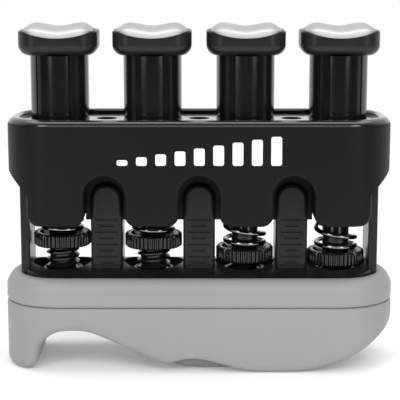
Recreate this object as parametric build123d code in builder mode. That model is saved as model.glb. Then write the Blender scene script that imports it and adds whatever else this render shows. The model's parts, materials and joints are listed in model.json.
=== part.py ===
"""Four-finger spring exerciser: a palm grip that carries a row of four spring-loaded plungers.

The origin is on the surface that the grip rests on, midway between the two middle fingers.
+X runs along the row of fingers, +Y points away from the front face, +Z is up. Millimetres.
"""
import math
import os
from build123d import *

os.makedirs("parts", exist_ok=True)

# Row of fingers
FINGER_PITCH = 20.0
FINGERS = 4
FINGER_X = [(i - (FINGERS - 1) / 2) * FINGER_PITCH for i in range(FINGERS)]
COLUMN_X = [(i - (FINGERS - 2) / 2) * FINGER_PITCH for i in range(FINGERS - 1)]

# Palm grip: two shells that meet at a seam all round
GRIP_HALF_WIDTH = 42.2
GRIP_HALF_DEPTH = 13.4
GRIP_CORNER = 12.1
GRIP_SEAM = 14.35
GRIP_TOP = 20.3
GRIP_SHOULDER = 3.1
GRIP_EDGE = 1.6
SEAM_CHAMFER = 0.25
GRIP_WALL = 2.2
SCOOP_DEPTH = 4.4
DECK_BOTTOM = 15.4

# Frame: plate, threaded bosses, three columns and two end walls
PLATE_HALF_WIDTH = 38.7
PLATE_HALF_DEPTH = 9.9
PLATE_CORNER = 8.6
PLATE_BOTTOM = 17.0
PLATE_TOP = 19.5
PLATE_CROWN = 21.9
PLATE_RIM = 20.2
WELL_RADIUS = 6.5
WELL_FLOOR = 20.0
SEAT_GAP = 0.1
BOSS_RADIUS = 5.2
BOSS_TOP_RADIUS = 4.3
BOSS_BOTTOM = 14.6
BOSS_TOP = 20.5
BOSS_HOLE_GAP = 0.3
WALL_INSIDE = 36.6
WALL_OUTSIDE = 38.6
WALL_HALF_DEPTH = 5.4
WALL_CORNER = 0.5
WALL_FOOT = 20.4
WALL_TOP = 44.5
COLUMN_WIDTH = 6.9
COLUMN_HALF_DEPTH = 5.0
COLUMN_SHOULDER = 31.2
COLUMN_TOP = 39.8
COLUMN_EDGE = 0.9
PEDESTAL_WIDTH = 6.8
PEDESTAL_DEPTH = 11.0
PEDESTAL_CORNER = 1.2
PEDESTAL_TOP = 21.9
CORE_WIDTH = 5.0
CORE_DEPTH = 5.4
CORE_TOP = 48.0
GROOVES = 8
GROOVE_TOP = 32.0
GROOVE_STEP = 1.36
GROOVE_LENGTHS = (5.0, 3.1)
GROOVE_HEIGHT = 0.5
GROOVE_DEPTH = 0.4

# Housing: block with four barrels below it
HOUSING_HALF_WIDTH = 41.1
HOUSING_HALF_DEPTH = 12.5
HOUSING_CORNER = 10.0
HOUSING_TOP = 54.3
HOUSING_TOP_EDGE = 1.8
HOUSING_FRONT_EDGE = 0.8
HOUSING_FLARE_TOP = 43.1
BARREL_OUTSIDE = 36.45
BARREL_BOTTOM = 31.7
BARREL_CORNER = 2.6
ARCH_HALF_WIDTH = 4.27
ARCH_TOP = 42.45
WEB_HALF_DEPTH = 3.6
TRAY_INSET = 2.6
TRAY_FLOOR = 53.4
TRAY_EDGE = 0.6
ROOF_BOTTOM = 50.4
CORE_SLOT_WIDTH = 7.4
CORE_SLOT_THICKNESS = 2.2
CORE_SLOT_CORNER = 0.8
CORE_SLOT_Y = 10.0
CORE_SLOT_DEPTH = 16.0

# Plunger, its button and its finger pad
PLUNGER_RADIUS = 6.25
SLIDE_GAP = 0.1
BARREL_BORE = 6.55
PLUNGER_BOTTOM = 44.2
SPRING_BORE = 5.0
SPRING_SEAT = 60.0
BUTTON_BOTTOM = 67.2
SPIGOT_RADIUS = 4.5
SPIGOT_TOP = 69.4
LUG_WIDTH = 4.0
LUG_REACH = 7.6
LUG_BOTTOM = 47.4
KEY_GAP = 0.15
STOP_GAP = 0.02
FLUTES = ((2.85, 1.1, 0.6), (4.45, 0.4, 0.35))
BUTTON_WIDTH = 16.9
BUTTON_DEPTH = 13.4
BUTTON_CORNER = 4.0
BUTTON_EDGE = 2.3
BUTTON_RIM_EDGE = 0.5
SADDLE_RADIUS = 19.6
SADDLE_LOW = 70.95
RIM_TOP = 72.5
PAD_WIDTH = 15.1
PAD_DEPTH = 12.0
PAD_CORNER = 3.0
PAD_SEAT = 0.8
PAD_GAP = 0.05
PAD_CREST_X = 5.1
PAD_CREST = 74.0
PAD_DIP = 73.3
PAD_END = 72.7
PAD_SHOULDER_DROP = 0.35

# Adjuster and spring of each finger
WHEEL_BOTTOMS = (25.6, 25.25, 22.35, 21.6)
WHEEL_RADIUS = 6.25
WHEEL_HEIGHT = 3.0
WHEEL_CHAMFER = 0.4
SHANK_CHAMFER = 0.6
THREAD_RADIUS = 3.65
THREAD_LENGTH = 9.5
PIN_RADIUS = 2.9
PIN_LENGTH = 8.0
SPRING_RADIUS = 4.3
WIRE_RADIUS = 0.52
SPRING_COILS = 11
SPRING_END_GAP = 0.02

# Self-tapping screws
SCREW_RADIUS = 1.25
SCREW_HEAD_RADIUS = 2.2
SCREW_HEAD_HEIGHT = 1.5
SCREW_GAP = 0.05
RECESS_WIDTH = 2.4
RECESS_SLOT = 0.5
RECESS_DEPTH = 0.7
HOUSING_SCREW_HEAD = 50.9
HOUSING_SCREW_TIP = 40.0
FRAME_SCREW_TIP = 26.0


def save(part, name):
    """Label a finished piece and write it to its own STEP file."""
    part.part.label = name
    export_step(part.part, f"parts/{name}.step")


def grip_side_outline():
    """Draw the lower shell's side view: foot, palm arch, resting lobe and heel."""
    corners = ((-34.7, 0), (-34.2, 9.05), (-23.9, 9.05), (-3.4, 0), (29.5, 0), (43.2, 10.28))
    radii = (3.2, 6.2, 12.0, 13.6, 34.5, 8.0)
    left, right = (-GRIP_HALF_WIDTH, 0), (corners[-1][0], GRIP_SEAM)
    FilletPolyline(left, *corners, right, radius=radii)
    Polyline(right, (-GRIP_HALF_WIDTH, GRIP_SEAM), left)


def on_grip_wall(edge):
    """Tell whether an edge lies on the grip's outer wall, away from the seam, and isn't upright."""
    point = edge @ 0.5
    along = edge % 0.5
    dx = max(abs(point.X) - (GRIP_HALF_WIDTH - GRIP_CORNER), 0)
    dy = max(abs(point.Y) - (GRIP_HALF_DEPTH - GRIP_CORNER), 0)
    on_wall = abs(math.hypot(dx, dy) - GRIP_CORNER) < 0.01
    return on_wall and point.Z < GRIP_SEAM - 0.1 and abs(along.Z) < 0.999


# A shallow scoop for the thumb, cut in the front and back edges of the grip's lobe
with BuildSketch(Plane.XZ) as scoop:
    with BuildLine():
        scoop_left, scoop_right = (-9.5, 1.0), (15.0, 0)
        FilletPolyline(scoop_left, (-8.0, 1.9), (-1.0, 3.6), (7.5, 1.2), (12.0, 0.3), scoop_right,
                       radius=(1.5, 12.0, 30.0, 8.0))
        Polyline(scoop_right, (15.0, -1.0), (-9.5, -1.0), scoop_left)
    make_face()

# Lower shell of the grip: the palm lobe, the arch beside it and the foot
with BuildPart() as grip_lower_shell:
    with BuildSketch(Plane.XZ):
        with BuildLine():
            grip_side_outline()
        make_face()
    extrude(amount=GRIP_HALF_DEPTH, both=True)
    with BuildSketch(Plane.XY):
        RectangleRounded(2 * GRIP_HALF_WIDTH, 2 * GRIP_HALF_DEPTH, GRIP_CORNER)
    extrude(amount=GRIP_SEAM, mode=Mode.INTERSECT)
    fillet(grip_lower_shell.edges().filter_by(on_grip_wall), radius=GRIP_EDGE)
    chamfer(grip_lower_shell.faces().sort_by(Axis.Z)[-1].edges(), length=SEAM_CHAMFER)
    for side in (-1, 1):
        with BuildSketch(Plane.XZ.offset(-side * (GRIP_HALF_DEPTH - SCOOP_DEPTH))):
            add(scoop.sketch_local)
        extrude(amount=-side * (SCOOP_DEPTH + 1), mode=Mode.SUBTRACT)
    # Cored from above: between the scoops it follows the side view, above them it is wider
    inner_half_width = GRIP_HALF_WIDTH - GRIP_WALL
    inner_half_depth = GRIP_HALF_DEPTH - GRIP_WALL
    with BuildSketch(Plane.XZ):
        with BuildLine():
            grip_side_outline()
        make_face()
        offset(amount=-GRIP_WALL, mode=Mode.REPLACE)
        with Locations((0, GRIP_SEAM - GRIP_WALL)):
            Rectangle(2 * inner_half_width, 2 * GRIP_WALL)
        with Locations((0, GRIP_SEAM / 2)):
            Rectangle(2 * inner_half_width, GRIP_SEAM, mode=Mode.INTERSECT)
    extrude(amount=inner_half_depth - SCOOP_DEPTH, both=True, mode=Mode.SUBTRACT)
    wide_core_left, wide_core_right, wide_core_floor = -8.0, 33.0, 5.5
    with BuildSketch(Plane.XY.offset(wide_core_floor)):
        with Locations(((wide_core_left + wide_core_right) / 2, 0)):
            RectangleRounded(wide_core_right - wide_core_left, 2 * inner_half_depth, 3.0)
    extrude(amount=GRIP_SEAM, mode=Mode.SUBTRACT)
save(grip_lower_shell, "grip_lower_shell")


# Upper shell of the grip: rounded shoulder, recess for the frame's plate and a deck under it
with BuildPart() as grip_upper_shell:
    with BuildSketch(Plane.XY.offset(GRIP_SEAM)):
        RectangleRounded(2 * GRIP_HALF_WIDTH, 2 * GRIP_HALF_DEPTH, GRIP_CORNER)
    extrude(amount=GRIP_TOP - GRIP_SEAM)
    fillet(grip_upper_shell.faces().sort_by(Axis.Z)[-1].edges(), radius=GRIP_SHOULDER)
    chamfer(grip_upper_shell.faces().sort_by(Axis.Z)[0].edges(), length=SEAM_CHAMFER)
    with BuildSketch(Plane.XY.offset(PLATE_BOTTOM)):
        RectangleRounded(2 * PLATE_HALF_WIDTH, 2 * PLATE_HALF_DEPTH, PLATE_CORNER)
    extrude(amount=GRIP_TOP - PLATE_BOTTOM, mode=Mode.SUBTRACT)
    with BuildSketch(Plane.XY.offset(GRIP_SEAM)):
        RectangleRounded(2 * (GRIP_HALF_WIDTH - GRIP_WALL), 2 * (GRIP_HALF_DEPTH - GRIP_WALL),
                         GRIP_CORNER - GRIP_WALL)
    extrude(amount=DECK_BOTTOM - GRIP_SEAM, mode=Mode.SUBTRACT)
    with BuildSketch(Plane.XY.offset(DECK_BOTTOM)):
        with Locations(*[(x, 0) for x in FINGER_X]):
            Circle(BOSS_RADIUS + BOSS_HOLE_GAP)
        with Locations(*[(x, 0) for x in COLUMN_X]):
            Circle(SCREW_RADIUS + BOSS_HOLE_GAP)
    extrude(amount=PLATE_BOTTOM - DECK_BOTTOM, mode=Mode.SUBTRACT)
save(grip_upper_shell, "grip_upper_shell")


# Frame: one moulding with the plate, four threaded bosses, three columns and two end walls
with BuildPart() as frame:
    with BuildSketch(Plane.XY.offset(PLATE_BOTTOM)):
        RectangleRounded(2 * (PLATE_HALF_WIDTH - SEAT_GAP), 2 * (PLATE_HALF_DEPTH - SEAT_GAP),
                         PLATE_CORNER - SEAT_GAP)
    extrude(amount=PLATE_CROWN - PLATE_BOTTOM)
    # The plate's top is crowned from front to back, with a round well under each thumbwheel
    with BuildSketch(Plane.YZ):
        with BuildLine():
            front_rim, back_rim = (-PLATE_HALF_DEPTH, PLATE_RIM), (PLATE_HALF_DEPTH, PLATE_RIM)
            ThreePointArc(front_rim, (0, PLATE_CROWN), back_rim)
            Polyline(back_rim, (PLATE_HALF_DEPTH, PLATE_BOTTOM), (-PLATE_HALF_DEPTH, PLATE_BOTTOM),
                     front_rim)
        make_face()
    extrude(amount=PLATE_HALF_WIDTH, both=True, mode=Mode.INTERSECT)
    with BuildSketch(Plane.XY.offset(WELL_FLOOR)):
        with Locations(*[(x, 0) for x in FINGER_X]):
            Circle(WELL_RADIUS)
    extrude(amount=PLATE_CROWN - WELL_FLOOR, mode=Mode.SUBTRACT)
    # End walls: flat posts that reach up into the housing
    wall_width = WALL_OUTSIDE - WALL_INSIDE
    wall_x = (WALL_INSIDE + WALL_OUTSIDE) / 2
    with BuildSketch(Plane.XY.offset(WALL_FOOT)):
        with Locations((-wall_x, 0), (wall_x, 0)):
            RectangleRounded(wall_width, 2 * WALL_HALF_DEPTH, WALL_CORNER)
    extrude(amount=WALL_TOP - WALL_FOOT)
    # Threaded bosses, coned above the plate
    with BuildSketch(Plane.XY.offset(BOSS_BOTTOM)):
        with Locations(*[(x, 0) for x in FINGER_X]):
            Circle(BOSS_RADIUS)
    extrude(amount=PLATE_TOP - BOSS_BOTTOM)
    cone_height = BOSS_TOP - PLATE_TOP
    with Locations(*[(x, 0, PLATE_TOP + cone_height / 2) for x in FINGER_X]):
        Cone(BOSS_RADIUS, BOSS_TOP_RADIUS, cone_height)
    # Columns: a pedestal, a wide lower part, a round-topped face in front and behind, a core
    with BuildSketch(Plane.XY.offset(PLATE_TOP)):
        with Locations(*[(x, 0) for x in COLUMN_X]):
            RectangleRounded(PEDESTAL_WIDTH, PEDESTAL_DEPTH, PEDESTAL_CORNER)
    extrude(amount=PEDESTAL_TOP - PLATE_TOP)
    with BuildSketch(Plane.XZ):
        for x in COLUMN_X:
            with Locations((x, (PLATE_TOP + COLUMN_TOP - COLUMN_WIDTH / 2) / 2)):
                Rectangle(COLUMN_WIDTH, COLUMN_TOP - COLUMN_WIDTH / 2 - PLATE_TOP)
            with Locations((x, COLUMN_TOP - COLUMN_WIDTH / 2)):
                Circle(COLUMN_WIDTH / 2)
    extrude(amount=COLUMN_HALF_DEPTH, both=True)
    upright = frame.edges().filter_by(Axis.Z)
    column_corners = [e for e in upright
                      if abs(abs((e @ 0.5).Y) - COLUMN_HALF_DEPTH) < 0.01 and (e @ 0.5).Z > PEDESTAL_TOP]
    arcs = [e for e in frame.edges().filter_by(GeomType.CIRCLE)
            if abs(abs((e @ 0.5).Y) - COLUMN_HALF_DEPTH) < 0.01 and (e @ 0.5).Z > COLUMN_SHOULDER]
    fillet(column_corners + arcs, radius=COLUMN_EDGE)
    # Clear the housing's web out of the columns above their shoulder, but leave the core
    with BuildSketch(Plane.XY.offset(COLUMN_SHOULDER)):
        with Locations(*[(x, 0) for x in COLUMN_X]):
            Rectangle(COLUMN_WIDTH + 1, 2 * (WEB_HALF_DEPTH + SEAT_GAP))
    extrude(amount=COLUMN_TOP, mode=Mode.SUBTRACT)
    with BuildSketch(Plane.XY.offset(PLATE_BOTTOM)):
        with Locations(*[(x, 0) for x in COLUMN_X]):
            Rectangle(CORE_WIDTH, CORE_DEPTH)
    extrude(amount=CORE_TOP - PLATE_BOTTOM)
    # Finger grooves across the front and back of each column, long and short in turn
    for side in (-1, 1):
        with BuildSketch(Plane.XZ.offset(-side * COLUMN_HALF_DEPTH)):
            for i in range(GROOVES):
                length = GROOVE_LENGTHS[i % 2]
                with Locations(*[(x, GROOVE_TOP - i * GROOVE_STEP) for x in COLUMN_X]):
                    SlotOverall(length, GROOVE_HEIGHT)
        extrude(amount=side * GROOVE_DEPTH, mode=Mode.SUBTRACT)
    # Threaded holes for the adjusters, pilot holes for the screws
    with BuildSketch(Plane.XY.offset(BOSS_BOTTOM)):
        with Locations(*[(x, 0) for x in FINGER_X]):
            Circle(THREAD_RADIUS + SLIDE_GAP)
    extrude(amount=BOSS_TOP - BOSS_BOTTOM, mode=Mode.SUBTRACT)
    with BuildSketch(Plane.XY.offset(PLATE_BOTTOM)):
        with Locations(*[(x, 0) for x in COLUMN_X]):
            Circle(SCREW_RADIUS + SCREW_GAP)
    extrude(amount=CORE_TOP - PLATE_BOTTOM, mode=Mode.SUBTRACT)
save(frame, "frame")


# Housing: the block with its tray-shaped top, the four barrels and the web between them
with BuildPart() as housing:
    inner = FINGER_PITCH / 2 - ARCH_HALF_WIDTH
    top, low = HOUSING_FLARE_TOP, BARREL_BOTTOM
    flare_low = top - (HOUSING_HALF_WIDTH - BARREL_OUTSIDE)
    with BuildSketch(Plane.XZ):
        for x in FINGER_X:
            left = x - inner if x > FINGER_X[0] else -BARREL_OUTSIDE
            right = x + inner if x < FINGER_X[-1] else BARREL_OUTSIDE
            with BuildLine():
                FilletPolyline((left, top), (left, low), (right, low), (right, top), radius=BARREL_CORNER)
                Line((right, top), (left, top))
            make_face()
        for side in (-1, 1):
            with BuildLine():
                Polyline((side * (BARREL_OUTSIDE - 1), top), (side * (BARREL_OUTSIDE - 1), flare_low),
                         (side * BARREL_OUTSIDE, flare_low), (side * HOUSING_HALF_WIDTH, top),
                         (side * (BARREL_OUTSIDE - 1), top))
            make_face()
    extrude(amount=HOUSING_HALF_DEPTH, both=True)
    arch_spring = ARCH_TOP - ARCH_HALF_WIDTH
    with BuildSketch(Plane.XZ):
        with Locations((0, (arch_spring + HOUSING_FLARE_TOP) / 2)):
            Rectangle(2 * BARREL_OUTSIDE, HOUSING_FLARE_TOP - arch_spring)
        with Locations((0, (HOUSING_FLARE_TOP + HOUSING_TOP) / 2)):
            Rectangle(2 * HOUSING_HALF_WIDTH, HOUSING_TOP - HOUSING_FLARE_TOP)
        with Locations(*[(x, arch_spring) for x in COLUMN_X]):
            Circle(ARCH_HALF_WIDTH, mode=Mode.SUBTRACT)
    extrude(amount=HOUSING_HALF_DEPTH, both=True)
    with BuildSketch(Plane.XY.offset(BARREL_BOTTOM)):
        RectangleRounded(2 * HOUSING_HALF_WIDTH, 2 * HOUSING_HALF_DEPTH, HOUSING_CORNER)
    extrude(amount=HOUSING_TOP - BARREL_BOTTOM, mode=Mode.INTERSECT)
    # Rounded edges: the top rim, the arches and the barrels' outer corners
    fillet(housing.faces().sort_by(Axis.Z)[-1].edges(), radius=HOUSING_TOP_EDGE)
    front_edges = [e for e in housing.edges()
                   if abs(abs((e @ 0.5).Y) - HOUSING_HALF_DEPTH) < 0.01
                   and (e @ 0.5).Z < ARCH_TOP + 0.1 and not e.geom_type == GeomType.BSPLINE]
    fillet(front_edges, radius=HOUSING_FRONT_EDGE)
    with BuildSketch(Plane.XZ):
        with Locations((0, (BARREL_BOTTOM + HOUSING_FLARE_TOP) / 2)):
            Rectangle(2 * FINGER_X[-1], HOUSING_FLARE_TOP - BARREL_BOTTOM)
    extrude(amount=WEB_HALF_DEPTH, both=True)
    # Tray in the top
    with BuildSketch(Plane.XY.offset(TRAY_FLOOR)):
        RectangleRounded(2 * (HOUSING_HALF_WIDTH - TRAY_INSET), 2 * (HOUSING_HALF_DEPTH - TRAY_INSET),
                         HOUSING_CORNER - TRAY_INSET)
    extrude(amount=HOUSING_TOP - TRAY_FLOOR, mode=Mode.SUBTRACT)
    rim = housing.faces().sort_by(Axis.Z)[-1]
    fillet(rim.inner_wires()[0].edges(), radius=TRAY_EDGE)
    # Plunger guides: a round hole in the roof, a wider bore below it and a keyway front and back
    with BuildSketch(Plane.XY.offset(BARREL_BOTTOM)):
        with Locations(*[(x, 0) for x in FINGER_X]):
            Circle(PLUNGER_RADIUS + SLIDE_GAP)
    extrude(amount=HOUSING_TOP - BARREL_BOTTOM, mode=Mode.SUBTRACT)
    with BuildSketch(Plane.XY.offset(BARREL_BOTTOM)):
        with Locations(*[(x, 0) for x in FINGER_X]):
            Circle(BARREL_BORE)
            Rectangle(LUG_WIDTH + 2 * KEY_GAP, 2 * (LUG_REACH + KEY_GAP))
    extrude(amount=ROOF_BOTTOM - BARREL_BOTTOM, mode=Mode.SUBTRACT)
    # Coring in the front and back of each barrel
    with BuildSketch(Plane.XY.offset(BARREL_BOTTOM)):
        with Locations(*[(x, side * CORE_SLOT_Y) for x in FINGER_X for side in (-1, 1)]):
            RectangleRounded(CORE_SLOT_WIDTH, CORE_SLOT_THICKNESS, CORE_SLOT_CORNER)
    extrude(amount=CORE_SLOT_DEPTH, mode=Mode.SUBTRACT)
    # Sockets for the columns' cores and for the end walls, and the screw holes
    with BuildSketch(Plane.XY.offset(BARREL_BOTTOM)):
        with Locations(*[(x, 0) for x in COLUMN_X]):
            Rectangle(CORE_WIDTH + 2 * SEAT_GAP, CORE_DEPTH + 2 * SEAT_GAP)
    extrude(amount=CORE_TOP + SEAT_GAP - BARREL_BOTTOM, mode=Mode.SUBTRACT)
    with BuildSketch(Plane.XY.offset(BARREL_BOTTOM)):
        with Locations((-wall_x, 0), (wall_x, 0)):
            Rectangle(wall_width + 2 * SEAT_GAP, 2 * (WALL_HALF_DEPTH + SEAT_GAP))
    extrude(amount=WALL_TOP + SEAT_GAP - BARREL_BOTTOM, mode=Mode.SUBTRACT)
    with Locations(*[(x, 0, HOUSING_SCREW_HEAD) for x in COLUMN_X]):
        Cylinder(SCREW_HEAD_RADIUS + SCREW_GAP, HOUSING_TOP - HOUSING_SCREW_HEAD, mode=Mode.SUBTRACT,
                 align=(Align.CENTER, Align.CENTER, Align.MIN))
        Cylinder(SCREW_RADIUS + SCREW_GAP, CORE_TOP, mode=Mode.SUBTRACT,
                 align=(Align.CENTER, Align.CENTER, Align.MAX))
save(housing, "housing")


def screw(head_seat, tip, head_up):
    """Add a pan-head screw at each column: a head with a cross recess, and a pointed shank."""
    head_align = Align.MIN if head_up else Align.MAX
    shank_align = Align.MAX if head_up else Align.MIN
    sign = 1 if head_up else -1
    with Locations(*[(x, 0, head_seat) for x in COLUMN_X]):
        Cylinder(SCREW_HEAD_RADIUS, SCREW_HEAD_HEIGHT, align=(Align.CENTER, Align.CENTER, head_align))
        Cylinder(SCREW_RADIUS, abs(head_seat - tip), align=(Align.CENTER, Align.CENTER, shank_align))
    head_top = head_seat + sign * SCREW_HEAD_HEIGHT
    with Locations(*[(x, 0, head_top) for x in COLUMN_X]):
        Box(RECESS_WIDTH, RECESS_SLOT, 2 * RECESS_DEPTH, mode=Mode.SUBTRACT)
        Box(RECESS_SLOT, RECESS_WIDTH, 2 * RECESS_DEPTH, mode=Mode.SUBTRACT)


# Three screws hold the housing on the columns, and three hold the frame on the grip's deck
with BuildPart() as housing_screws:
    screw(HOUSING_SCREW_HEAD, HOUSING_SCREW_TIP, head_up=True)
save(housing_screws, "housing_screws")

with BuildPart() as frame_screws:
    screw(DECK_BOTTOM, FRAME_SCREW_TIP, head_up=False)
save(frame_screws, "frame_screws")


def make_plunger(name, x):
    """Hollow fluted shaft with two lugs that stop and key it, and a spigot for the button."""
    with BuildPart() as plunger:
        with BuildSketch(Plane.XY.offset(PLUNGER_BOTTOM)):
            with Locations((x, 0)):
                Circle(PLUNGER_RADIUS)
            for place, width, depth in FLUTES:
                surface = math.sqrt(PLUNGER_RADIUS ** 2 - place ** 2)
                spots = [(x + sx * place, sy * surface) for sx in (-1, 1) for sy in (-1, 1)]
                with Locations(*spots):
                    Rectangle(width, 2 * depth, mode=Mode.SUBTRACT)
        extrude(amount=BUTTON_BOTTOM - PLUNGER_BOTTOM)
        lug_height = ROOF_BOTTOM - STOP_GAP - LUG_BOTTOM
        with Locations((x, 0, LUG_BOTTOM)):
            Box(LUG_WIDTH, 2 * LUG_REACH, lug_height, align=(Align.CENTER, Align.CENTER, Align.MIN))
        with Locations((x, 0, BUTTON_BOTTOM)):
            Cylinder(SPIGOT_RADIUS, SPIGOT_TOP - BUTTON_BOTTOM,
                     align=(Align.CENTER, Align.CENTER, Align.MIN))
        with Locations((x, 0, PLUNGER_BOTTOM)):
            Cylinder(SPRING_BORE, SPRING_SEAT - PLUNGER_BOTTOM, mode=Mode.SUBTRACT,
                     align=(Align.CENTER, Align.CENTER, Align.MIN))
    save(plunger, name)


def saddle(radius, x, half_depth):
    """Return a long cylinder across the row, whose underside is the saddle of a button."""
    axis_height = SADDLE_LOW + SADDLE_RADIUS
    cylinder = Cylinder(radius, 2 * half_depth, mode=Mode.PRIVATE)
    return Pos(x, 0, axis_height) * Rot(90, 0, 0) * cylinder


def make_button(name, x):
    """Moulded head with a saddle top, a seat for the pad and a blind hole for the spigot."""
    with BuildPart() as button:
        with BuildSketch(Plane.XY.offset(BUTTON_BOTTOM)):
            with Locations((x, 0)):
                RectangleRounded(BUTTON_WIDTH, BUTTON_DEPTH, BUTTON_CORNER)
        extrude(amount=RIM_TOP - BUTTON_BOTTOM)
        fillet(button.faces().sort_by(Axis.Z)[0].edges(), radius=BUTTON_EDGE)
        add(saddle(SADDLE_RADIUS, x, BUTTON_DEPTH), mode=Mode.SUBTRACT)
        fillet(button.edges().group_by(Axis.Z)[-1], radius=BUTTON_RIM_EDGE)
        with BuildSketch(Plane.XY.offset(BUTTON_BOTTOM)) as seat:
            with Locations((x, 0)):
                RectangleRounded(PAD_WIDTH, PAD_DEPTH, PAD_CORNER)
        seat_block = extrude(seat.sketch, amount=RIM_TOP - BUTTON_BOTTOM + 1, mode=Mode.PRIVATE)
        add(seat_block & saddle(SADDLE_RADIUS + PAD_SEAT, x, BUTTON_DEPTH), mode=Mode.SUBTRACT)
        with Locations((x, 0, BUTTON_BOTTOM)):
            Cylinder(SPIGOT_RADIUS + SCREW_GAP, SPIGOT_TOP + SCREW_GAP - BUTTON_BOTTOM,
                     mode=Mode.SUBTRACT, align=(Align.CENTER, Align.CENTER, Align.MIN))
    save(button, name)


def make_pad(name, x):
    """Soft pad: saddle underside, crowned ends and a shallow dip for the fingertip."""
    width = PAD_WIDTH - 2 * PAD_GAP
    depth = PAD_DEPTH - 2 * PAD_GAP
    with BuildPart() as pad:
        with BuildSketch(Plane.XZ):
            with BuildLine():
                end = width / 2
                shoulder = (end + PAD_CREST_X) / 2
                Polyline((x - end, PAD_END), (x - end, BUTTON_BOTTOM), (x + end, BUTTON_BOTTOM),
                         (x + end, PAD_END))
                ThreePointArc((x + end, PAD_END), (x + shoulder, PAD_CREST - PAD_SHOULDER_DROP),
                              (x + PAD_CREST_X, PAD_CREST))
                ThreePointArc((x + PAD_CREST_X, PAD_CREST), (x, PAD_DIP), (x - PAD_CREST_X, PAD_CREST))
                ThreePointArc((x - PAD_CREST_X, PAD_CREST), (x - shoulder, PAD_CREST - PAD_SHOULDER_DROP),
                              (x - end, PAD_END))
            make_face()
        extrude(amount=depth / 2, both=True)
        with BuildSketch(Plane.XY.offset(BUTTON_BOTTOM)):
            with Locations((x, 0)):
                RectangleRounded(width, depth, PAD_CORNER - PAD_GAP)
        extrude(amount=PAD_CREST - BUTTON_BOTTOM, mode=Mode.INTERSECT)
        add(saddle(SADDLE_RADIUS + PAD_SEAT - PAD_GAP, x, BUTTON_DEPTH), mode=Mode.INTERSECT)
    save(pad, name)


def make_adjuster(name, x, wheel_bottom):
    """Thumbwheel with a threaded shank below it and a guide pin above it."""
    with BuildPart() as adjuster:
        with Locations((x, 0, wheel_bottom)):
            Cylinder(WHEEL_RADIUS, WHEEL_HEIGHT, align=(Align.CENTER, Align.CENTER, Align.MIN))
        chamfer(adjuster.edges().filter_by(GeomType.CIRCLE), length=WHEEL_CHAMFER)
        with Locations((x, 0, wheel_bottom)):
            Cylinder(THREAD_RADIUS, THREAD_LENGTH, align=(Align.CENTER, Align.CENTER, Align.MAX))
            Cylinder(PIN_RADIUS, WHEEL_HEIGHT + PIN_LENGTH, align=(Align.CENTER, Align.CENTER, Align.MIN))
        chamfer(adjuster.edges().group_by(Axis.Z)[-1], length=SHANK_CHAMFER)
        chamfer(adjuster.edges().group_by(Axis.Z)[0], length=SHANK_CHAMFER)
    save(adjuster, name)


def make_spring(name, x, wheel_bottom):
    """Compression spring from the wheel's top face to the seat inside the plunger."""
    low = wheel_bottom + WHEEL_HEIGHT + WIRE_RADIUS + SPRING_END_GAP
    high = SPRING_SEAT - WIRE_RADIUS - SPRING_END_GAP
    with BuildPart() as spring:
        with BuildLine() as path:
            Helix(pitch=(high - low) / SPRING_COILS, height=high - low, radius=SPRING_RADIUS,
                  center=(x, 0, low), lefthand=True)
        with BuildSketch(Plane(origin=path.line @ 0, z_dir=path.line % 0)):
            Circle(WIRE_RADIUS)
        sweep(path=path.line, is_frenet=True)
    save(spring, name)


for number, (finger_x, wheel_bottom) in enumerate(zip(FINGER_X, WHEEL_BOTTOMS), start=1):
    make_plunger(f"plunger_{number}", finger_x)
    make_button(f"button_{number}", finger_x)
    make_pad(f"finger_pad_{number}", finger_x)
    make_adjuster(f"adjuster_{number}", finger_x, wheel_bottom)
    make_spring(f"spring_{number}", finger_x, wheel_bottom)
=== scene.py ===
"""Four-finger spring exerciser: the looks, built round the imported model, in metres."""

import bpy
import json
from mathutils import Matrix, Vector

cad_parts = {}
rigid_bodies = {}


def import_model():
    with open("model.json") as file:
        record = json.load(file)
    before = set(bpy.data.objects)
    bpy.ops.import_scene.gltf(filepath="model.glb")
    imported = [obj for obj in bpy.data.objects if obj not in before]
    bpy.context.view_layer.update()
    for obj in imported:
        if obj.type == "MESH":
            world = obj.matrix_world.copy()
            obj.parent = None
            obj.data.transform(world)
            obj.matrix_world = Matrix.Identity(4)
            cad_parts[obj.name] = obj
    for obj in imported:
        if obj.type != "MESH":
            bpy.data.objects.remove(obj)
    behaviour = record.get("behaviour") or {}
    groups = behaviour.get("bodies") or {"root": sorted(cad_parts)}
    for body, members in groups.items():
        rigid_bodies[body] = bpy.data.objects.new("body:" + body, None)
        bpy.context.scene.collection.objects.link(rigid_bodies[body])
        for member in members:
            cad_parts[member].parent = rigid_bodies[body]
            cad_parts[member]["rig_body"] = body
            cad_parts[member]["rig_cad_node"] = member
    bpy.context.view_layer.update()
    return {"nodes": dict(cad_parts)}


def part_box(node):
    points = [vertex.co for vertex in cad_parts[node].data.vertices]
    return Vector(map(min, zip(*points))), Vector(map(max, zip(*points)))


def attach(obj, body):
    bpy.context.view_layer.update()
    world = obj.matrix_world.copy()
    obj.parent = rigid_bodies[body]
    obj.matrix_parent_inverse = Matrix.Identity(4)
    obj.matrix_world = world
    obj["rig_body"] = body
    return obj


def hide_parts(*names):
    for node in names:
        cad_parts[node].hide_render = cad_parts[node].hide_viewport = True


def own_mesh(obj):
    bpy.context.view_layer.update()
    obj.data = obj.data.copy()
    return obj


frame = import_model()

import json
import math
import bpy
from mathutils import Vector

MM = 0.001

# Camera: it looks slightly down on the front from about 0.3 m, through a long lens.
camera_place = (0, -0.29544, 0.0896)
camera_aim = (0.0002, 0, 0.03535)


def turn_to(item, place, aim):
    """Point a camera or a light from its place at an aim."""
    item.rotation_euler = (Vector(aim) - Vector(place)).to_track_quat("-Z", "Y").to_euler()


bpy.ops.object.camera_add(location=camera_place)
camera = bpy.context.object
camera.data.sensor_width = 36
camera.data.lens = 123.4
turn_to(camera, camera_place, camera_aim)
bpy.context.scene.camera = camera


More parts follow.
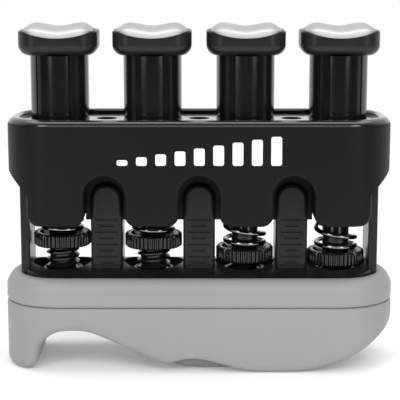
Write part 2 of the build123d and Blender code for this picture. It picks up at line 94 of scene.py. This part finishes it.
# Lights: a tall soft box on each side in front, a wide key light above the camera and a large
# soft light overhead. The film shows white as white, with no tone curve.
def soft_box(name, place, aim, size, power):
    """Add a rectangular area light."""
    bpy.ops.object.light_add(type="AREA", location=place)
    light = bpy.context.object
    light.name = name
    light.data.shape = "RECTANGLE"
    light.data.size, light.data.size_y = size
    light.data.energy = power
    turn_to(light, place, aim)


for side in (-1, 1):
    soft_box(f"front_box_{side + 1}", (side * 0.31, -0.47, 0.30), (0, 0, 0.04), (0.16, 0.60), 1.1)
soft_box("key_box", (0, -0.50, 0.42), (0, 0, 0.04), (0.8, 0.22), 1.4)
soft_box("overhead", (0, 0.10, 0.70), (0, 0, 0), (0.9, 0.6), 3.4)
bpy.context.scene.view_settings.view_transform = "Standard"


class Value:
    """A shader value: sums and products of values are written as Python expressions."""

    def __init__(self, tree, socket):
        self.tree = tree
        self.socket = socket

    def maths(self, operation, *terms):
        return self.tree.node("ShaderNodeMath", {"operation": operation}, dict(enumerate(terms)))

    def __add__(self, other):
        return self.maths("ADD", self, other)

    def __sub__(self, other):
        return self.maths("SUBTRACT", self, other)

    def __rsub__(self, other):
        return self.maths("SUBTRACT", other, self)

    def __mul__(self, other):
        return self.maths("MULTIPLY", self, other)

    __radd__ = __add__
    __rmul__ = __mul__


class Tree:
    """A node tree, whose nodes all come from one method."""

    def __init__(self, owner):
        owner.use_nodes = True
        self.nodes = owner.node_tree.nodes
        self.links = owner.node_tree.links

    def node(self, kind, settings, inputs, output=0):
        """Add a node, apply its settings, give its sockets values or links, return an output."""
        node = self.nodes.new(kind)
        for key, value in settings.items():
            setattr(node, key, value)
        for key, value in inputs.items():
            if isinstance(value, Value):
                self.links.new(value.socket, node.inputs[key])
            else:
                node.inputs[key].default_value = value
        return Value(self, node.outputs[output])

    def ramp(self, value, low, high, first, last):
        """Ease from a first to a last number while a value goes from low to high."""
        inputs = {"Value": value, "From Min": low, "From Max": high, "To Min": first, "To Max": last}
        return self.node("ShaderNodeMapRange", {"interpolation_type": "SMOOTHSTEP"}, inputs)


# Studio: the object stands in front of a white sweep, and the room in front of it is dark, so
# round black parts have a dark middle and bright edges. The bare sweep itself is plain white.
room_dark, sweep_bright, ceiling_bright, fill_light = 0.02, 1.0, 0.4, 0.36
sweep_start, sweep_end = -0.45, 0.25
ceiling_start, ceiling_end = 0.3, 0.9
studio = bpy.data.worlds.new("studio")
bpy.context.scene.world = studio
room = Tree(studio)
way = room.node("ShaderNodeTexCoord", {}, {}, "Generated")
way_back = room.node("ShaderNodeSeparateXYZ", {}, {0: way}, "Y")
way_up = room.node("ShaderNodeSeparateXYZ", {}, {0: way}, "Z")
behind = room.ramp(way_back, sweep_start, sweep_end, room_dark, sweep_bright)
above = room.ramp(way_up, ceiling_start, ceiling_end, 0, ceiling_bright)
seen = room.node("ShaderNodeLightPath", {}, {}, "Is Camera Ray")
mirrored = room.node("ShaderNodeLightPath", {}, {}, "Is Glossy Ray")
brightness = seen + mirrored * (behind + above) + (1 - seen - mirrored) * fill_light
room.links.new(brightness.socket, room.nodes["Background"].inputs["Strength"])
room.nodes["Background"].inputs["Color"].default_value = (1, 1, 1, 1)


class Finish(Tree):
    """A material with one Principled shader, whose constants are set on its own sockets."""

    def __init__(self, name, **constants):
        self.material = bpy.data.materials.new(name)
        super().__init__(self.material)
        self.shader = self.nodes["Principled BSDF"]
        for socket, value in constants.items():
            self.shader.inputs[socket.replace("_", " ")].default_value = value
        self.place = self.node("ShaderNodeTexCoord", {}, {}, "Object")

    def stretched(self, scale):
        """Object coordinates scaled by three factors."""
        return self.node("ShaderNodeMapping", {}, {"Vector": self.place, "Scale": scale})

    def noise(self, scale, detail=2.0, where=None):
        """Noise between 0 and 1, with that many features a metre."""
        inputs = {"Vector": where or self.place, "Scale": scale, "Detail": detail}
        return self.node("ShaderNodeTexNoise", {}, inputs, "Fac")

    def grains(self, scale):
        """Distance to the nearest of many small grains, for a moulded texture."""
        return self.node("ShaderNodeTexVoronoi", {}, {"Vector": self.place, "Scale": scale}, "Distance")

    def colours(self, factor, first, second):
        """Mix two colours by a value."""
        inputs = {0: factor, 6: (*first, 1), 7: (*second, 1)}
        return self.node("ShaderNodeMix", {"data_type": "RGBA"}, inputs, 2)

    def feed(self, socket, value):
        """Link a value to one of the Principled shader's sockets."""
        self.links.new(value.socket, self.shader.inputs[socket])

    def relief(self, height, depth, strength=1.0):
        """Give the surface a relief of that depth in metres."""
        inputs = {"Height": height, "Distance": depth, "Strength": strength}
        self.feed("Normal", self.node("ShaderNodeBump", {}, inputs, "Normal"))


def paint(piece, finish):
    """Give a piece one material."""
    piece.data.materials.clear()
    piece.data.materials.append(finish.material)


def deselect():
    """Leave edit mode and clear the selection."""
    if bpy.context.object and bpy.context.object.mode != "OBJECT":
        bpy.ops.object.mode_set(mode="OBJECT")
    bpy.ops.object.select_all(action="DESELECT")


# Floor: a round white board under the object, as bright as the sweep behind it. It glows
# faintly, which lightens the shadows under the grip.
floor_radius = 0.33
deselect()
bpy.ops.mesh.primitive_circle_add(vertices=128, radius=floor_radius, fill_type="NGON", location=(0, 0, 0))
floor = bpy.context.object
floor.name = "floor"
sweep_white = Finish("sweep_white", Base_Color=(0.93, 0.93, 0.93, 1), Roughness=0.6,
                     Emission_Color=(1, 1, 1, 1), Emission_Strength=0.12)
paint(floor, sweep_white)


# Grip: two moulded shells of grey soft-touch plastic, glued along the seam. The moulding
# rounds every edge, so the shells are remeshed finely and relaxed until their edges are soft.
def copy_node(name, piece_name):
    """Copy a node's mesh into a new piece, with its doubled corners merged."""
    deselect()
    piece = frame["nodes"][name].copy()
    piece.data = piece.data.copy()
    piece.parent = None
    piece.name = piece_name
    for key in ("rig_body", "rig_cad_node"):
        if key in piece:
            del piece[key]
    bpy.context.scene.collection.objects.link(piece)
    piece.select_set(True)
    bpy.context.view_layer.objects.active = piece
    bpy.ops.object.mode_set(mode="EDIT")
    bpy.ops.mesh.select_all(action="SELECT")
    bpy.ops.mesh.remove_doubles(threshold=0.002 * MM)
    bpy.ops.object.mode_set(mode="OBJECT")
    return piece


def modify(piece, kind, **settings):
    """Add a modifier with its settings and apply it."""
    bpy.context.view_layer.objects.active = piece
    bpy.ops.object.modifier_add(type=kind)
    modifier = piece.modifiers[-1]
    for key, value in settings.items():
        setattr(modifier, key, value)
    bpy.ops.object.modifier_apply(modifier=modifier.name)


grip_voxel = 0.4 * MM
grip_grey = Finish("soft_touch_grey", Specular_IOR_Level=0.4)
grip_cloud = grip_grey.noise(45, 3.0)
grip_grey.feed("Base Color", grip_grey.colours(grip_cloud, (0.272, 0.272, 0.264), (0.296, 0.296, 0.287)))
grip_grey.feed("Roughness", 0.42 + 0.10 * grip_grey.noise(700, 2.0))
grip_grey.relief(grip_grey.grains(5200) + 0.4 * grip_grey.noise(1800, 2.0), 0.012 * MM, 0.6)
for name, piece_name in (("grip_lower_shell", "palm_shell"), ("grip_upper_shell", "shoulder_shell")):
    shell = copy_node(name, piece_name)
    modify(shell, "REMESH", mode="VOXEL", voxel_size=grip_voxel)
    modify(shell, "SMOOTH", factor=0.5, iterations=6)
    bpy.ops.object.shade_smooth()
    paint(shell, grip_grey)
    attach(shell, "root")
    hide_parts(name)


# Frame: a black moulding with a semi-gloss skin, seen between the grip and the housing.
frame_black = Finish("frame_black", Specular_IOR_Level=0.28)
frame_black.feed("Base Color", frame_black.colours(frame_black.noise(70), (0.009, 0.008, 0.008),
                                                   (0.0135, 0.012, 0.012)))
frame_black.feed("Roughness", 0.24 + 0.10 * frame_black.noise(500, 2.0))
frame_black.relief(frame_black.noise(900, 3.0), 0.01 * MM, 0.4)
paint(frame["nodes"]["frame"], frame_black)


# Housing: one satin black moulding with a fine spark-eroded texture, screwed on the columns. Its
# top rim and tray are polished and clear-coated.
housing_black = Finish("housing_black", Specular_IOR_Level=0.16, Coat_Roughness=0.08)
housing_black.feed("Base Color", housing_black.colours(housing_black.noise(60, 3.0), (0.0038, 0.0041, 0.0045),
                                                       (0.0065, 0.0065, 0.0070)))
tray_low, tray_floor = 53.0 * MM, 53.3 * MM
housing_height = housing_black.node("ShaderNodeSeparateXYZ", {}, {0: housing_black.place}, "Z")
tray_polish = housing_black.ramp(housing_height, tray_low, tray_floor, 0, 0.32)
housing_black.feed("Roughness", 0.40 + 0.10 * housing_black.noise(800, 2.0) - tray_polish)
housing_black.feed("Coat Weight", housing_black.ramp(housing_height, tray_low, tray_floor, 0, 0.8))
housing_black.relief(housing_black.grains(4200), 0.010 * MM, 0.5)
paint(frame["nodes"]["housing"], housing_black)


# Front mark: a plain row of rising bars, pad-printed in white on the housing's front.
bar_count = 9
mark_left, mark_right = -18.1 * MM, 18.2 * MM
mark_bottom, mark_low, mark_high = 44.9 * MM, 1.2 * MM, 6.1 * MM
mark_thickness = 0.03 * MM
mark_corner = 0.45 * MM
bar_pitch = (mark_right - mark_left) / bar_count
bar_width = 0.56 * bar_pitch
front_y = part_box("housing")[0].y


def add_block(name, low, high):
    """Add a box that fills the space between two corners."""
    deselect()
    centre = [(a + b) / 2 for a, b in zip(low, high)]
    bpy.ops.mesh.primitive_cube_add(size=1, location=centre)
    block = bpy.context.object
    block.name = name
    block.scale = [b - a for a, b in zip(low, high)]
    bpy.ops.object.transform_apply(location=True, rotation=True, scale=True)
    return block


def choose(piece, mode, test):
    """Select, in edit mode, the edges or faces whose corners pass a test."""
    bpy.context.view_layer.objects.active = piece
    bpy.ops.object.mode_set(mode="EDIT")
    bpy.ops.mesh.select_mode(type=mode)
    bpy.ops.mesh.select_all(action="DESELECT")
    bpy.ops.object.mode_set(mode="OBJECT")
    points = piece.data.vertices
    for element in piece.data.edges if mode == "EDGE" else piece.data.polygons:
        element.select = test([points[i].co for i in element.vertices])
    bpy.ops.object.mode_set(mode="EDIT")


print_white = Finish("print_white", Roughness=0.5)
print_white.feed("Base Color", print_white.colours(print_white.noise(300), (0.80, 0.80, 0.80),
                                                   (0.88, 0.88, 0.88)))
bars = []
for count in range(bar_count):
    x = mark_left + (count + 0.5) * bar_pitch
    height = mark_low + (mark_high - mark_low) * count / (bar_count - 1)
    bar = add_block(f"mark_bar_{count + 1}",
                    (x - bar_width / 2, front_y - mark_thickness, mark_bottom),
                    (x + bar_width / 2, front_y + mark_thickness, mark_bottom + height))
    choose(bar, "EDGE", lambda ends: abs(ends[0].y - ends[1].y) > mark_thickness)
    bpy.ops.mesh.bevel(offset=mark_corner, segments=4, affect="EDGES")
    bpy.ops.object.mode_set(mode="OBJECT")
    bars.append(bar)
deselect()
for bar in bars:
    bar.select_set(True)
bpy.context.view_layer.objects.active = bars[0]
bpy.ops.object.join()
mark = bars[0]
mark.name = "front_mark"
paint(mark, print_white)
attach(mark, "root")


# Screws: three black oxide screws in the tray, three zinc-plated ones under the grip's deck.
for name, tone, roughness in (("housing_screws", 0.03, 0.35), ("frame_screws", 0.45, 0.30)):
    screw_metal = Finish(f"{name}_metal", Metallic=1.0)
    screw_metal.feed("Base Color", screw_metal.colours(screw_metal.noise(900), (0.8 * tone,) * 3, (tone,) * 3))
    screw_metal.feed("Roughness", roughness + 0.1 * screw_metal.noise(2500))
    paint(frame["nodes"][name], screw_metal)


# Plungers: polished black mouldings, each a fluted shaft that slides in its barrel.
plunger_black = Finish("plunger_black", Specular_IOR_Level=0.6)
plunger_black.feed("Base Color", plunger_black.colours(plunger_black.noise(80), (0.0035, 0.0031, 0.0031),
                                                       (0.011, 0.010, 0.010)))
mould_lines = plunger_black.noise(400, 3.0, plunger_black.stretched((1, 1, 0.1)))
plunger_black.feed("Roughness", 0.10 + 0.08 * mould_lines)
for number in range(1, 5):
    paint(frame["nodes"][f"plunger_{number}"], plunger_black)


# Buttons: satin black saddle heads, each fixed on the spigot of its plunger.
button_black = Finish("button_black", Specular_IOR_Level=0.32)
button_black.feed("Base Color", button_black.colours(button_black.noise(90), (0.010, 0.010, 0.010),
                                                     (0.015, 0.015, 0.015)))
button_black.feed("Roughness", 0.26 + 0.10 * button_black.noise(700))
button_black.relief(button_black.grains(4200), 0.006 * MM, 0.4)
for number in range(1, 5):
    paint(frame["nodes"][f"button_{number}"], button_black)


# Finger pads: soft elastomer saddles with a crowned top, two raised ends and a shallow dip
# for the fingertip, with a painted highlight along the front and back rims. Each is pressed into its button's
# seat.
pad_corner = 3.0 * MM
pad_cuts_across, pad_cuts_along = 20, 10
pad_dip = 0.7 * MM
pad_end_drop = 1.3 * MM
# Where the painted highlight on the front and back rims starts and ends, measured from the pad's middle.
pad_highlight_start, pad_highlight_end = 4.7 * MM, 6.0 * MM
pad_crown = 1.5 * MM
pad_crest_share = 0.68
pad_edge = 1.3 * MM
pad_underside_radius = 20.4 * MM


def duplicate(piece, name, shift):
    """Copy a piece, with its own mesh, to another place in the row."""
    deselect()
    piece.select_set(True)
    bpy.context.view_layer.objects.active = piece
    bpy.ops.object.duplicate()
    copy = bpy.context.object
    copy.name = name
    bpy.ops.transform.translate(value=shift)
    bpy.ops.object.transform_apply(location=True, rotation=True, scale=True)
    return copy


def pad_drop(across, along):
    """Depth of the pad's top below its crest, at shares of its half width and half depth."""
    rise = min(abs(across) / pad_crest_share, 1)
    dip = pad_dip * (1 - rise * rise * (3 - 2 * rise))
    end = max(abs(across) - pad_crest_share, 0) / (1 - pad_crest_share)
    return dip + pad_end_drop * end ** 1.6 + pad_crown * abs(along) ** 3


pad_low, pad_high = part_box("finger_pad_1")
pad_x = (pad_low.x + pad_high.x) / 2
pad_half = (pad_high - pad_low) / 2
pad_model = add_block("pad_model", pad_low, pad_high)
choose(pad_model, "EDGE", lambda ends: abs(ends[0].z - ends[1].z) > MM)
bpy.ops.mesh.bevel(offset=pad_corner, segments=6, affect="EDGES")
for cut in range(1, pad_cuts_across):
    bpy.ops.mesh.select_all(action="SELECT")
    x = pad_low.x + 2 * pad_half.x * cut / pad_cuts_across
    bpy.ops.mesh.bisect(plane_co=(x, 0, 0), plane_no=(1, 0, 0))
for cut in range(1, pad_cuts_along):
    bpy.ops.mesh.select_all(action="SELECT")
    y = pad_low.y + 2 * pad_half.y * cut / pad_cuts_along
    bpy.ops.mesh.bisect(plane_co=(0, y, 0), plane_no=(0, 1, 0))
bpy.ops.object.mode_set(mode="OBJECT")
for point in pad_model.data.vertices:
    offset = point.co.x - pad_x
    if point.co.z > (pad_low.z + pad_high.z) / 2:
        point.co.z = pad_high.z - pad_drop(offset / pad_half.x, point.co.y / pad_half.y)
    else:
        point.co.z = pad_low.z + pad_underside_radius - math.sqrt(pad_underside_radius ** 2 - offset ** 2)
modify(pad_model, "BEVEL", width=pad_edge, segments=4, limit_method="ANGLE", angle_limit=math.radians(50))
modify(pad_model, "SUBSURF", levels=1, render_levels=1)
bpy.ops.object.shade_smooth()
pad_grey = Finish("pad_grey", Specular_IOR_Level=0.45)
pad_depth = pad_grey.node("ShaderNodeMath", {"operation": "ABSOLUTE"},
                          {0: pad_grey.node("ShaderNodeSeparateXYZ", {}, {0: pad_grey.place}, "Y")})
# Painted highlight: the base colour goes paler towards the pad's front and back rims, standing in for light on
# those rims.
pad_rim_highlight = pad_grey.ramp(pad_depth, pad_highlight_start, pad_highlight_end, 0, 0.9)
pad_grey.feed("Base Color", pad_grey.colours(pad_rim_highlight + 0.1 * pad_grey.noise(120, 3.0), (0.31, 0.31, 0.295),
                                             (0.66, 0.66, 0.63)))
pad_grey.feed("Roughness", 0.34 + 0.10 * pad_grey.noise(900))
pad_grey.relief(pad_grey.noise(2600, 3.0), 0.008 * MM, 0.5)
for number in range(1, 5):
    low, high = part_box(f"finger_pad_{number}")
    pad = duplicate(pad_model, f"pad_{number}", ((low.x + high.x) / 2 - pad_x, 0, 0))
    paint(pad, pad_grey)
    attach(pad, f"piston_{number}")
    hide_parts(f"finger_pad_{number}")
bpy.data.objects.remove(pad_model)


# Adjusters: a knurled thumbwheel with a coarse screw thread below it and a smooth guide pin
# above it, moulded in one piece of glossy black plastic.
wheel_teeth = 40
tooth_depth = 0.42 * MM
wheel_height, wheel_radius, wheel_chamfer = 3.0 * MM, 6.25 * MM, 0.35 * MM
dish_border, dish_depth = 0.5 * MM, 0.08 * MM
thread_radius, thread_core, thread_pitch = 3.65 * MM, 2.85 * MM, 1.5 * MM
thread_length = 9.5 * MM
pin_radius, pin_length = 2.9 * MM, 8.0 * MM
pin_chamfer, pin_edge = 0.6 * MM, 0.2 * MM
pin_fillet, pin_sink = 0.25 * MM, 0.1 * MM
shank_overlap = 0.5 * MM
ridge_root = thread_core - 0.2 * MM
ridge_start, ridge_crest_start, ridge_crest_end, ridge_end = -0.12 * MM, 0.42 * MM, 0.72 * MM, 1.26 * MM


def lathe(name, outline, steps, turns=1, rise=0.0):
    """Turn an outline of (radius, height) points about the Z axis, rising by that much a turn."""
    deselect()
    mesh = bpy.data.meshes.new(name)
    ends = [(i, i + 1) for i in range(len(outline) - 1)]
    if rise:
        ends.append((len(outline) - 1, 0))
    mesh.from_pydata([(r, 0, z) for r, z in outline], ends, [])
    piece = bpy.data.objects.new(name, mesh)
    bpy.context.scene.collection.objects.link(piece)
    piece.select_set(True)
    modify(piece, "SCREW", angle=2 * math.pi, screw_offset=rise, iterations=turns, steps=steps,
           render_steps=steps, use_merge_vertices=not rise, merge_threshold=0.001 * MM)
    recalculate(piece)
    return piece


def recalculate(piece):
    """Merge doubled corners, close open ends and turn every face outwards."""
    bpy.context.view_layer.objects.active = piece
    bpy.ops.object.mode_set(mode="EDIT")
    bpy.ops.mesh.select_all(action="SELECT")
    bpy.ops.mesh.remove_doubles(threshold=0.001 * MM)
    bpy.ops.mesh.select_all(action="DESELECT")
    bpy.ops.mesh.select_non_manifold()
    bpy.ops.mesh.edge_face_add()
    bpy.ops.mesh.select_all(action="SELECT")
    bpy.ops.mesh.normals_make_consistent(inside=False)
    bpy.ops.object.mode_set(mode="OBJECT")


# The wheel: a disc whose rim is drawn in between the teeth, raised in three steps with a
# chamfer at each face
deselect()
bpy.ops.mesh.primitive_circle_add(vertices=4 * wheel_teeth, radius=wheel_radius, fill_type="NGON")
wheel = bpy.context.object
wheel.name = "wheel_model"
bpy.ops.object.transform_apply(location=True, rotation=True, scale=True)
for count, point in enumerate(wheel.data.vertices):
    if count % 4 in (0, 1):
        point.co *= (wheel_radius - tooth_depth) / wheel_radius
bpy.ops.object.mode_set(mode="EDIT")
bpy.ops.mesh.select_all(action="SELECT")
chamfered = (wheel_radius - wheel_chamfer) / wheel_radius
bpy.ops.transform.resize(value=(chamfered, chamfered, 1))
for rise, growth in ((wheel_chamfer, 1 / chamfered), (wheel_height - 2 * wheel_chamfer, 1),
                     (wheel_chamfer, chamfered)):
    bpy.ops.mesh.extrude_region_move(TRANSFORM_OT_translate={"value": (0, 0, rise)})
    bpy.ops.transform.resize(value=(growth, growth, 1))
bpy.ops.mesh.inset(thickness=dish_border)
bpy.ops.transform.translate(value=(0, 0, -dish_depth))
bpy.ops.object.mode_set(mode="OBJECT")
recalculate(wheel)
pin_top = wheel_height + pin_length
pin_foot = wheel_height - pin_sink
pin = lathe("pin", ((0, shank_overlap), (pin_radius, shank_overlap), (pin_radius, pin_foot),
                    (pin_radius + pin_fillet, pin_foot), (pin_radius, wheel_height + pin_fillet),
                    (pin_radius, pin_top - pin_chamfer), (pin_radius - pin_edge, pin_top - pin_edge),
                    (pin_radius - pin_chamfer, pin_top), (0, pin_top)), 48)
core = lathe("thread_core", ((0, -thread_length), (thread_core - pin_chamfer, -thread_length),
                             (thread_core, pin_chamfer - thread_length), (thread_core, shank_overlap),
                             (0, shank_overlap)), 48)
thread_turns = int((thread_length - pin_chamfer) / thread_pitch)
ridge_low = -thread_turns * thread_pitch
ridge = lathe("thread_ridge", ((ridge_root, ridge_low + ridge_start),
                               (thread_radius, ridge_low + ridge_crest_start),
                               (thread_radius, ridge_low + ridge_crest_end),
                               (ridge_root, ridge_low + ridge_end)),
              40, thread_turns, thread_pitch)
deselect()
for item in (ridge, core, pin, wheel):
    item.select_set(True)
bpy.context.view_layer.objects.active = wheel
bpy.ops.object.join()
bpy.ops.object.shade_smooth_by_angle(angle=math.radians(32))
adjuster_black = Finish("adjuster_black", Specular_IOR_Level=0.55)
adjuster_black.feed("Base Color", adjuster_black.colours(adjuster_black.noise(200), (0.007, 0.007, 0.007),
                                                         (0.011, 0.011, 0.011)))
adjuster_black.feed("Roughness", 0.14 + 0.10 * adjuster_black.noise(900))
wheel_tops = []
for number in range(1, 5):
    low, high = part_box(f"adjuster_{number}")
    wheel_base = low.z + thread_length
    adjuster = duplicate(wheel, f"thumbscrew_{number}", ((low.x + high.x) / 2, 0, wheel_base))
    paint(adjuster, adjuster_black)
    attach(adjuster, f"thumbwheel_{number}")
    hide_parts(f"adjuster_{number}")
    wheel_tops.append(wheel_base + wheel_height)
bpy.data.objects.remove(wheel)


# Springs: polished wire with a thin black oxide, coiled left-handed with one closed turn at each
# end. Each stands on its wheel round the pin, and reaches up to the seat inside its plunger.
coil_radius, wire_radius = 4.3 * MM, 0.52 * MM
active_turns = 8
points_a_turn = 40
press_travel = 12 * MM


def helix_height(turn, length):
    """Height of the wire's middle after that many turns, closed at both ends."""
    closed = 2 * wire_radius
    pitch = (length - 2 * wire_radius - 2 * closed) / active_turns
    start = min(turn, 1)
    middle = min(max(turn - 1, 0), active_turns)
    end = max(turn - 1 - active_turns, 0)
    return wire_radius + closed * (start + end) + pitch * middle


spring_wire = Finish("spring_wire", Metallic=1.0)
spring_wire.feed("Base Color", spring_wire.colours(spring_wire.noise(700, 3.0), (0.24, 0.24, 0.245),
                                                   (0.32, 0.32, 0.325)))
spring_wire.feed("Roughness", 0.12 + 0.08 * spring_wire.noise(3000, 2.0))
for number in range(1, 5):
    low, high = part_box(f"spring_{number}")
    x, base = (low.x + high.x) / 2, wheel_tops[number - 1]
    length = high.z - base
    curve = bpy.data.curves.new(f"coil_{number}", "CURVE")
    curve.dimensions = "3D"
    curve.bevel_depth = wire_radius
    curve.bevel_resolution = 3
    curve.use_fill_caps = True
    path = curve.splines.new("POLY")
    count = (active_turns + 2) * points_a_turn + 1
    path.points.add(count - 1)
    for i, point in enumerate(path.points):
        turn = i / points_a_turn
        angle = math.pi / 2 - 2 * math.pi * turn
        height = base + helix_height(turn, length)
        point.co = (x + coil_radius * math.cos(angle), coil_radius * math.sin(angle), height, 1)
    deselect()
    wire = bpy.data.objects.new(f"compression_spring_{number}", curve)
    bpy.context.scene.collection.objects.link(wire)
    wire.select_set(True)
    bpy.context.view_layer.objects.active = wire
    bpy.ops.object.convert(target="MESH")
    wire = bpy.context.object
    recalculate(wire)
    bpy.ops.object.shade_smooth_by_angle(angle=math.radians(60))
    paint(wire, spring_wire)
    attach(wire, f"coil_{number}")
    (length - press_travel) / length
    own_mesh(wire)
    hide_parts(f"spring_{number}")
